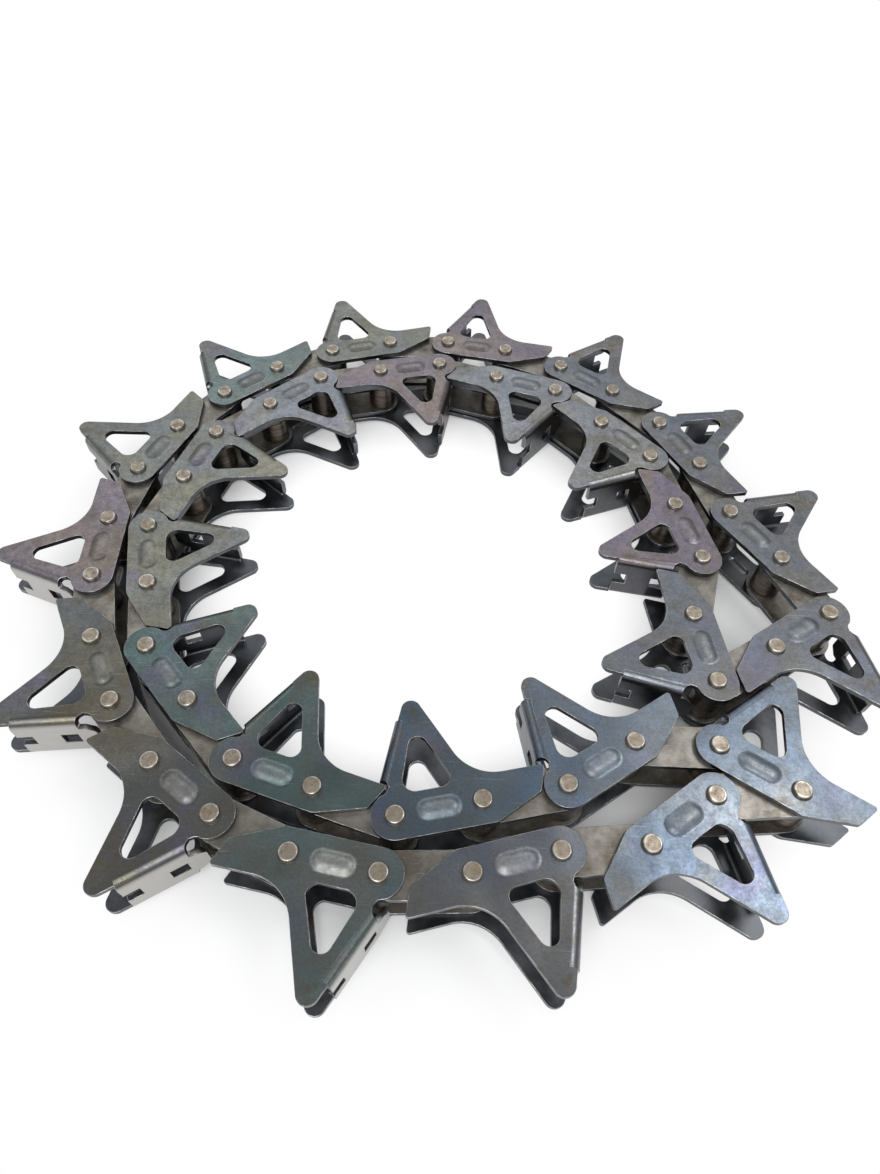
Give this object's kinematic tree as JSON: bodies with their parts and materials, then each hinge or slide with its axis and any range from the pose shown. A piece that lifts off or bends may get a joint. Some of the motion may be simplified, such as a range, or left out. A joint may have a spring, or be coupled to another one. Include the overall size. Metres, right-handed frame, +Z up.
{
  "type": "finned roller chain loop",
  "caption": "Closed loop of roller chain with folded sheet-steel gathering fins on every outer link, laid flat as a C-shaped double strand.",
  "frame": {"origin": "centre of the loop's box at the surface it lies on", "axes": "+Z up along the pin axes, +Y away from the viewer, opening of the C towards +X"},
  "size_m": [0.4858, 0.478, 0.0376],
  "materials": {
    "blued_steel": "satin",
    "plain_steel": "satin"
  },
  "bodies": {
    "fin_link_01": {"fin_link_01": "blued_steel"},
    "roller_link_01": {"roller_link_01": "plain_steel"},
    "fin_link_02": {"fin_link_02": "blued_steel"},
    "roller_link_02": {"roller_link_02": "plain_steel"},
    "fin_link_03": {"fin_link_03": "blued_steel"},
    "roller_link_03": {"roller_link_03": "plain_steel"},
    "fin_link_04": {"fin_link_04": "blued_steel"},
    "roller_link_04": {"roller_link_04": "plain_steel"},
    "fin_link_05": {"fin_link_05": "blued_steel"},
    "roller_link_05": {"roller_link_05": "plain_steel"},
    "fin_link_06": {"fin_link_06": "blued_steel"},
    "roller_link_06": {"roller_link_06": "plain_steel"},
    "fin_link_07": {"fin_link_07": "blued_steel"},
    "roller_link_07": {"roller_link_07": "plain_steel"},
    "fin_link_08": {"fin_link_08": "blued_steel"},
    "roller_link_08": {"roller_link_08": "plain_steel"},
    "fin_link_09": {"fin_link_09": "blued_steel"},
    "roller_link_09": {"roller_link_09": "plain_steel"},
    "fin_link_10": {"fin_link_10": "blued_steel"},
    "roller_link_10": {"roller_link_10": "plain_steel"},
    "fin_link_11": {"fin_link_11": "blued_steel"},
    "roller_link_11": {"roller_link_11": "plain_steel"},
    "fin_link_12": {"fin_link_12": "blued_steel"},
    "roller_link_12": {"roller_link_12": "plain_steel"},
    "fin_link_13": {"fin_link_13": "blued_steel"},
    "roller_link_13": {"roller_link_13": "plain_steel"},
    "fin_link_14": {"fin_link_14": "blued_steel"},
    "roller_link_14": {"roller_link_14": "plain_steel"},
    "fin_link_15": {"fin_link_15": "blued_steel"},
    "roller_link_15": {"roller_link_15": "plain_steel"},
    "fin_link_16": {"fin_link_16": "blued_steel"},
    "roller_link_16": {"roller_link_16": "plain_steel"},
    "fin_link_17": {"fin_link_17": "blued_steel"},
    "roller_link_17": {"roller_link_17": "plain_steel"},
    "fin_link_18": {"fin_link_18": "blued_steel"},
    "roller_link_18": {"roller_link_18": "plain_steel"},
    "fin_link_19": {"fin_link_19": "blued_steel"},
    "roller_link_19": {"roller_link_19": "plain_steel"},
    "fin_link_20": {"fin_link_20": "blued_steel"},
    "roller_link_20": {"roller_link_20": "plain_steel"},
    "fin_link_21": {"fin_link_21": "blued_steel"},
    "roller_link_21": {"roller_link_21": "plain_steel"},
    "fin_link_22": {"fin_link_22": "blued_steel"},
    "roller_link_22": {"roller_link_22": "plain_steel"},
    "fin_link_23": {"fin_link_23": "blued_steel"},
    "roller_link_23": {"roller_link_23": "plain_steel"},
    "fin_link_24": {"fin_link_24": "blued_steel"},
    "roller_link_24": {"roller_link_24": "plain_steel"},
    "fin_link_25": {"fin_link_25": "blued_steel"},
    "roller_link_25": {"roller_link_25": "plain_steel"},
    "fin_link_26": {"fin_link_26": "blued_steel"},
    "roller_link_26": {"roller_link_26": "plain_steel"},
    "fin_link_27": {"fin_link_27": "blued_steel"},
    "roller_link_27": {"roller_link_27": "plain_steel"}
  },
  "joints": [
    {"name": "loop_opening", "type": "hinge", "parent": "fin_link_09", "child": "roller_link_09", "pos_m": [-0.1852, -0.03075, 0.0188], "axis": [0, 0, -1], "range_deg": [0, 2.35]},
    {"name": "hinge_roller_09_fin_10", "type": "hinge", "parent": "roller_link_09", "child": "fin_link_10", "pos_m": [-0.17393, -0.07059, 0.0188], "axis": [0, 0, -1], "range_deg": [0, 2.42]},
    {"name": "hinge_fin_10_roller_10", "type": "hinge", "parent": "fin_link_10", "child": "roller_link_10", "pos_m": [-0.15412, -0.10695, 0.0188], "axis": [0, 0, -1], "range_deg": [0, 2.44]},
    {"name": "hinge_roller_10_fin_11", "type": "hinge", "parent": "roller_link_10", "child": "fin_link_11", "pos_m": [-0.12677, -0.13802, 0.0188], "axis": [0, 0, -1], "range_deg": [0, 2.43]},
    {"name": "hinge_fin_11_roller_11", "type": "hinge", "parent": "fin_link_11", "child": "roller_link_11", "pos_m": [-0.09321, -0.16227, 0.0188], "axis": [0, 0, -1], "range_deg": [0, 2.42]},
    {"name": "hinge_roller_11_fin_12", "type": "hinge", "parent": "roller_link_11", "child": "fin_link_12", "pos_m": [-0.05513, -0.1785, 0.0188], "axis": [0, 0, -1], "range_deg": [0, 2.41]},
    {"name": "hinge_fin_12_roller_12", "type": "hinge", "parent": "fin_link_12", "child": "roller_link_12", "pos_m": [-0.0144, -0.18591, 0.0188], "axis": [0, 0, -1], "range_deg": [0, 2.42]},
    {"name": "hinge_roller_12_fin_13", "type": "hinge", "parent": "roller_link_12", "child": "fin_link_13", "pos_m": [0.02697, -0.18412, 0.0188], "axis": [0, 0, -1], "range_deg": [0, 2.4]},
    {"name": "hinge_fin_13_roller_13", "type": "hinge", "parent": "fin_link_13", "child": "roller_link_13", "pos_m": [0.06691, -0.17322, 0.0188], "axis": [0, 0, -1], "range_deg": [0, 2.32]},
    {"name": "hinge_roller_13_fin_14", "type": "hinge", "parent": "roller_link_13", "child": "fin_link_14", "pos_m": [0.10808, -0.16889, 0.0188], "axis": [0, 0, 1], "range_deg": [0, 12.39]},
    {"name": "hinge_fin_14_roller_14", "type": "hinge", "parent": "fin_link_14", "child": "roller_link_14", "pos_m": [0.14157, -0.14456, 0.0188], "axis": [0, 0, 1], "range_deg": [0, 4.36]},
    {"name": "hinge_roller_14_fin_15", "type": "hinge", "parent": "roller_link_14", "child": "fin_link_15", "pos_m": [0.18282, -0.14095, 0.0188], "axis": [0, 0, -1], "range_deg": [0, 4.87]},
    {"name": "hinge_fin_15_roller_15", "type": "hinge", "parent": "fin_link_15", "child": "roller_link_15", "pos_m": [0.14771, -0.11901, 0.0188], "axis": [0, 0, -1], "range_deg": [0, 4.93]},
    {"name": "hinge_roller_15_fin_16", "type": "hinge", "parent": "roller_link_15", "child": "fin_link_16", "pos_m": [0.10631, -0.11871, 0.0188], "axis": [0, 0, -1], "range_deg": [0, 4.49]},
    {"name": "hinge_fin_16_roller_16", "type": "hinge", "parent": "fin_link_16", "child": "roller_link_16", "pos_m": [0.072, -0.14188, 0.0188], "axis": [0, 0, 1], "range_deg": [0, 0.984]},
    {"name": "hinge_roller_16_fin_17", "type": "hinge", "parent": "roller_link_16", "child": "fin_link_17", "pos_m": [0.03159, -0.15092, 0.0188], "axis": [0, 0, 1], "range_deg": [0, 0.564]},
    {"name": "hinge_fin_17_roller_17", "type": "hinge", "parent": "fin_link_17", "child": "roller_link_17", "pos_m": [-0.00882, -0.1599, 0.0188], "axis": [0, 0, 1], "range_deg": [0, 2.61]},
    {"name": "hinge_roller_17_fin_18", "type": "hinge", "parent": "roller_link_17", "child": "fin_link_18", "pos_m": [-0.04836, -0.14762, 0.0188], "axis": [0, 0, 1], "range_deg": [0, 2.61]},
    {"name": "hinge_fin_18_roller_18", "type": "hinge", "parent": "fin_link_18", "child": "roller_link_18", "pos_m": [-0.08788, -0.1353, 0.0188], "axis": [0, 0, 1], "range_deg": [0, 2.62]},
    {"name": "hinge_roller_18_fin_19", "type": "hinge", "parent": "roller_link_18", "child": "fin_link_19", "pos_m": [-0.11605, -0.10496, 0.0188], "axis": [0, 0, 1], "range_deg": [0, 2.56]},
    {"name": "hinge_fin_19_roller_19", "type": "hinge", "parent": "fin_link_19", "child": "roller_link_19", "pos_m": [-0.14419, -0.0746, 0.0188], "axis": [0, 0, 1], "range_deg": [0, 2.56]},
    {"name": "hinge_roller_19_fin_20", "type": "hinge", "parent": "roller_link_19", "child": "fin_link_20", "pos_m": [-0.15353, -0.03426, 0.0188], "axis": [0, 0, 1], "range_deg": [0, 2.53]},
    {"name": "hinge_fin_20_roller_20", "type": "hinge", "parent": "fin_link_20", "child": "roller_link_20", "pos_m": [-0.16282, 0.00608, 0.0188], "axis": [0, 0, 1], "range_deg": [0, 2.59]},
    {"name": "hinge_roller_20_fin_21", "type": "hinge", "parent": "roller_link_20", "child": "fin_link_21", "pos_m": [-0.15083, 0.04571, 0.0188], "axis": [0, 0, 1], "range_deg": [0, 2.62]},
    {"name": "hinge_fin_21_roller_21", "type": "hinge", "parent": "fin_link_21", "child": "roller_link_21", "pos_m": [-0.1388, 0.08532, 0.0188], "axis": [0, 0, 1], "range_deg": [0, 2.76]},
    {"name": "hinge_roller_21_fin_22", "type": "hinge", "parent": "roller_link_21", "child": "fin_link_22", "pos_m": [-0.10868, 0.11372, 0.0188], "axis": [0, 0, 1], "range_deg": [0, 2.79]},
    {"name": "hinge_fin_22_roller_22", "type": "hinge", "parent": "fin_link_22", "child": "roller_link_22", "pos_m": [-0.07852, 0.14209, 0.0188], "axis": [0, 0, 1], "range_deg": [0, 2.92]},
    {"name": "hinge_fin_09_roller_08", "type": "hinge", "parent": "fin_link_09", "child": "roller_link_08", "pos_m": [-0.18739, 0.01059, 0.0188], "axis": [0, 0, 1], "range_deg": [0, 2.24]},
    {"name": "hinge_roller_08_fin_08", "type": "hinge", "parent": "roller_link_08", "child": "fin_link_08", "pos_m": [-0.18037, 0.05139, 0.0188], "axis": [0, 0, 1], "range_deg": [0, 2.1]},
    {"name": "hinge_fin_08_roller_07", "type": "hinge", "parent": "fin_link_08", "child": "roller_link_07", "pos_m": [-0.1645, 0.08963, 0.0188], "axis": [0, 0, 1], "range_deg": [0, 1.93]},
    {"name": "hinge_roller_07_fin_07", "type": "hinge", "parent": "roller_link_07", "child": "fin_link_07", "pos_m": [-0.14057, 0.12341, 0.0188], "axis": [0, 0, 1], "range_deg": [0, 1.79]},
    {"name": "hinge_fin_07_roller_06", "type": "hinge", "parent": "fin_link_07", "child": "roller_link_06", "pos_m": [-0.10976, 0.15106, 0.0188], "axis": [0, 0, 1], "range_deg": [0, 1.7]},
    {"name": "hinge_roller_06_fin_06", "type": "hinge", "parent": "roller_link_06", "child": "fin_link_06", "pos_m": [-0.07359, 0.17121, 0.0188], "axis": [0, 0, 1], "range_deg": [0, 1.69]},
    {"name": "hinge_fin_06_roller_05", "type": "hinge", "parent": "fin_link_06", "child": "roller_link_05", "pos_m": [-0.03386, 0.18286, 0.0188], "axis": [0, 0, 1], "range_deg": [0, 1.77]},
    {"name": "hinge_roller_05_fin_05", "type": "hinge", "parent": "roller_link_05", "child": "fin_link_05", "pos_m": [0.00746, 0.18544, 0.0188], "axis": [0, 0, 1], "range_deg": [0, 1.97]},
    {"name": "hinge_fin_05_roller_04", "type": "hinge", "parent": "fin_link_05", "child": "roller_link_04", "pos_m": [0.04832, 0.17881, 0.0188], "axis": [0, 0, 1], "range_deg": [0, 2.25]},
    {"name": "hinge_roller_04_fin_04", "type": "hinge", "parent": "roller_link_04", "child": "fin_link_04", "pos_m": [0.08671, 0.1633, 0.0188], "axis": [0, 0, 1], "range_deg": [0, 2.61]},
    {"name": "hinge_fin_04_roller_03", "type": "hinge", "parent": "fin_link_04", "child": "roller_link_03", "pos_m": [0.12072, 0.13969, 0.0188], "axis": [0, 0, 1], "range_deg": [0, 2.96]},
    {"name": "hinge_roller_03_fin_03", "type": "hinge", "parent": "roller_link_03", "child": "fin_link_03", "pos_m": [0.14866, 0.10914, 0.0188], "axis": [0, 0, 1], "range_deg": [0, 3.2]},
    {"name": "hinge_fin_03_roller_02", "type": "hinge", "parent": "fin_link_03", "child": "roller_link_02", "pos_m": [0.16915, 0.07317, 0.0188], "axis": [0, 0, 1], "range_deg": [0, 1.07]},
    {"name": "hinge_roller_02_fin_02", "type": "hinge", "parent": "roller_link_02", "child": "fin_link_02", "pos_m": [0.18118, 0.03356, 0.0188], "axis": [0, 0, -1], "range_deg": [0, 0.974]},
    {"name": "hinge_fin_02_roller_01", "type": "hinge", "parent": "fin_link_02", "child": "roller_link_01", "pos_m": [0.20433, -0.00077, 0.0188], "axis": [0, 0, 1], "range_deg": [0, 3.09]},
    {"name": "hinge_roller_01_fin_01", "type": "hinge", "parent": "roller_link_01", "child": "fin_link_01", "pos_m": [0.22226, -0.03808, 0.0188], "axis": [0, 0, -1], "range_deg": [0, 5.67]},
    {"name": "hinge_fin_01_roller_27", "type": "hinge", "parent": "fin_link_01", "child": "roller_link_27", "pos_m": [0.18794, -0.06123, 0.0188], "axis": [0, 0, 1], "range_deg": [0, 1.27]},
    {"name": "hinge_roller_27_fin_27", "type": "hinge", "parent": "roller_link_27", "child": "fin_link_27", "pos_m": [0.15283, -0.08317, 0.0188], "axis": [0, 0, 1], "range_deg": [0, 5.77]},
    {"name": "hinge_fin_27_roller_26", "type": "hinge", "parent": "fin_link_27", "child": "roller_link_26", "pos_m": [0.14707, -0.04217, 0.0188], "axis": [0, 0, -1], "range_deg": [0, 2.08]},
    {"name": "hinge_roller_26_fin_26", "type": "hinge", "parent": "roller_link_26", "child": "fin_link_26", "pos_m": [0.15846, -0.00237, 0.0188], "axis": [0, 0, -1], "range_deg": [0, 1.74]},
    {"name": "hinge_fin_26_roller_25", "type": "hinge", "parent": "fin_link_26", "child": "roller_link_25", "pos_m": [0.14858, 0.03783, 0.0188], "axis": [0, 0, -1], "range_deg": [0, 1.61]},
    {"name": "hinge_roller_25_fin_25", "type": "hinge", "parent": "roller_link_25", "child": "fin_link_25", "pos_m": [0.13865, 0.07802, 0.0188], "axis": [0, 0, -1], "range_deg": [0, 1.69]},
    {"name": "hinge_fin_25_roller_24", "type": "hinge", "parent": "fin_link_25", "child": "roller_link_24", "pos_m": [0.11006, 0.10797, 0.0188], "axis": [0, 0, -1], "range_deg": [0, 1.88]},
    {"name": "hinge_roller_24_fin_24", "type": "hinge", "parent": "roller_link_24", "child": "fin_link_24", "pos_m": [0.08144, 0.13788, 0.0188], "axis": [0, 0, -1], "range_deg": [0, 2.2]},
    {"name": "hinge_fin_24_roller_23", "type": "hinge", "parent": "fin_link_24", "child": "roller_link_23", "pos_m": [0.04173, 0.14962, 0.0188], "axis": [0, 0, -1], "range_deg": [0, 2.44]},
    {"name": "hinge_roller_23_fin_23", "type": "hinge", "parent": "roller_link_23", "child": "fin_link_23", "pos_m": [0.00202, 0.16131, 0.0188], "axis": [0, 0, -1], "range_deg": [0, 2.75]}
  ],
  "couplings": [
    {"joint": "hinge_roller_09_fin_10", "follows": "loop_opening", "ratio": 1.0265},
    {"joint": "hinge_fin_10_roller_10", "follows": "loop_opening", "ratio": 1.0346},
    {"joint": "hinge_roller_10_fin_11", "follows": "loop_opening", "ratio": 1.0316},
    {"joint": "hinge_fin_11_roller_11", "follows": "loop_opening", "ratio": 1.0263},
    {"joint": "hinge_roller_11_fin_12", "follows": "loop_opening", "ratio": 1.0248},
    {"joint": "hinge_fin_12_roller_12", "follows": "loop_opening", "ratio": 1.0267},
    {"joint": "hinge_roller_12_fin_13", "follows": "loop_opening", "ratio": 1.0209},
    {"joint": "hinge_fin_13_roller_13", "follows": "loop_opening", "ratio": 0.98343},
    {"joint": "hinge_roller_13_fin_14", "follows": "loop_opening", "ratio": 5.2621},
    {"joint": "hinge_fin_14_roller_14", "follows": "loop_opening", "ratio": 1.8523},
    {"joint": "hinge_roller_14_fin_15", "follows": "loop_opening", "ratio": 2.0678},
    {"joint": "hinge_fin_15_roller_15", "follows": "loop_opening", "ratio": 2.0926},
    {"joint": "hinge_roller_15_fin_16", "follows": "loop_opening", "ratio": 1.9066},
    {"joint": "hinge_fin_16_roller_16", "follows": "loop_opening", "ratio": 0.41757},
    {"joint": "hinge_roller_16_fin_17", "follows": "loop_opening", "ratio": 0.23937},
    {"joint": "hinge_fin_17_roller_17", "follows": "loop_opening", "ratio": 1.1072},
    {"joint": "hinge_roller_17_fin_18", "follows": "loop_opening", "ratio": 1.1074},
    {"joint": "hinge_fin_18_roller_18", "follows": "loop_opening", "ratio": 1.1105},
    {"joint": "hinge_roller_18_fin_19", "follows": "loop_opening", "ratio": 1.0892},
    {"joint": "hinge_fin_19_roller_19", "follows": "loop_opening", "ratio": 1.0886},
    {"joint": "hinge_roller_19_fin_20", "follows": "loop_opening", "ratio": 1.0733},
    {"joint": "hinge_fin_20_roller_20", "follows": "loop_opening", "ratio": 1.0992},
    {"joint": "hinge_roller_20_fin_21", "follows": "loop_opening", "ratio": 1.1121},
    {"joint": "hinge_fin_21_roller_21", "follows": "loop_opening", "ratio": 1.1733},
    {"joint": "hinge_roller_21_fin_22", "follows": "loop_opening", "ratio": 1.1868},
    {"joint": "hinge_fin_22_roller_22", "follows": "loop_opening", "ratio": 1.2393},
    {"joint": "hinge_fin_09_roller_08", "follows": "loop_opening", "ratio": 0.95292},
    {"joint": "hinge_roller_08_fin_08", "follows": "loop_opening", "ratio": 0.89003},
    {"joint": "hinge_fin_08_roller_07", "follows": "loop_opening", "ratio": 0.82145},
    {"joint": "hinge_roller_07_fin_07", "follows": "loop_opening", "ratio": 0.76082},
    {"joint": "hinge_fin_07_roller_06", "follows": "loop_opening", "ratio": 0.72207},
    {"joint": "hinge_roller_06_fin_06", "follows": "loop_opening", "ratio": 0.71699},
    {"joint": "hinge_fin_06_roller_05", "follows": "loop_opening", "ratio": 0.75353},
    {"joint": "hinge_roller_05_fin_05", "follows": "loop_opening", "ratio": 0.83475},
    {"joint": "hinge_fin_05_roller_04", "follows": "loop_opening", "ratio": 0.95714},
    {"joint": "hinge_roller_04_fin_04", "follows": "loop_opening", "ratio": 1.1075},
    {"joint": "hinge_fin_04_roller_03", "follows": "loop_opening", "ratio": 1.2579},
    {"joint": "hinge_roller_03_fin_03", "follows": "loop_opening", "ratio": 1.3593},
    {"joint": "hinge_fin_03_roller_02", "follows": "loop_opening", "ratio": 0.45298},
    {"joint": "hinge_roller_02_fin_02", "follows": "loop_opening", "ratio": 0.41368},
    {"joint": "hinge_fin_02_roller_01", "follows": "loop_opening", "ratio": 1.3131},
    {"joint": "hinge_roller_01_fin_01", "follows": "loop_opening", "ratio": 2.4073},
    {"joint": "hinge_fin_01_roller_27", "follows": "loop_opening", "ratio": 0.53888},
    {"joint": "hinge_roller_27_fin_27", "follows": "loop_opening", "ratio": 2.4513},
    {"joint": "hinge_fin_27_roller_26", "follows": "loop_opening", "ratio": 0.88517},
    {"joint": "hinge_roller_26_fin_26", "follows": "loop_opening", "ratio": 0.73986},
    {"joint": "hinge_fin_26_roller_25", "follows": "loop_opening", "ratio": 0.68582},
    {"joint": "hinge_roller_25_fin_25", "follows": "loop_opening", "ratio": 0.71902},
    {"joint": "hinge_fin_25_roller_24", "follows": "loop_opening", "ratio": 0.79761},
    {"joint": "hinge_roller_24_fin_24", "follows": "loop_opening", "ratio": 0.93471},
    {"joint": "hinge_fin_24_roller_23", "follows": "loop_opening", "ratio": 1.0341},
    {"joint": "hinge_roller_23_fin_23", "follows": "loop_opening", "ratio": 1.1666}
  ]
}
